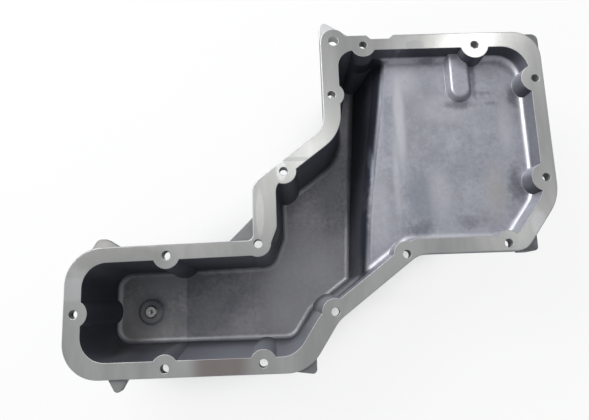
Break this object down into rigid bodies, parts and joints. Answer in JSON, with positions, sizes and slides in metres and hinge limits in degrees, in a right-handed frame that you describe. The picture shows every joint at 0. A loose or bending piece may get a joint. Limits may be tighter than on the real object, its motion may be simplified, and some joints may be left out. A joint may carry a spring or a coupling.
{
  "type": "engine oil pan",
  "caption": "Die-cast engine oil pan with a deep sump arm, a sloped middle section, a shallow tray, a bolt flange and a drain plug.",
  "frame": {"origin": "centre of the large corner hole, on the gasket face", "axes": "+Z out of the gasket face towards the engine block, +X along the pan from the sump arm to the tray"},
  "size_m": [0.4144, 0.3117, 0.093],
  "materials": {
    "cast_aluminium": "satin as-cast, brighter on the machined gasket face",
    "plug_steel": "zinc plated",
    "washer_aluminium": "plain"
  },
  "bodies": {
    "root": {"pan_casting": "cast_aluminium", "drain_plug": "plug_steel", "drain_plug_washer": "washer_aluminium"}
  },
  "joints": []
}
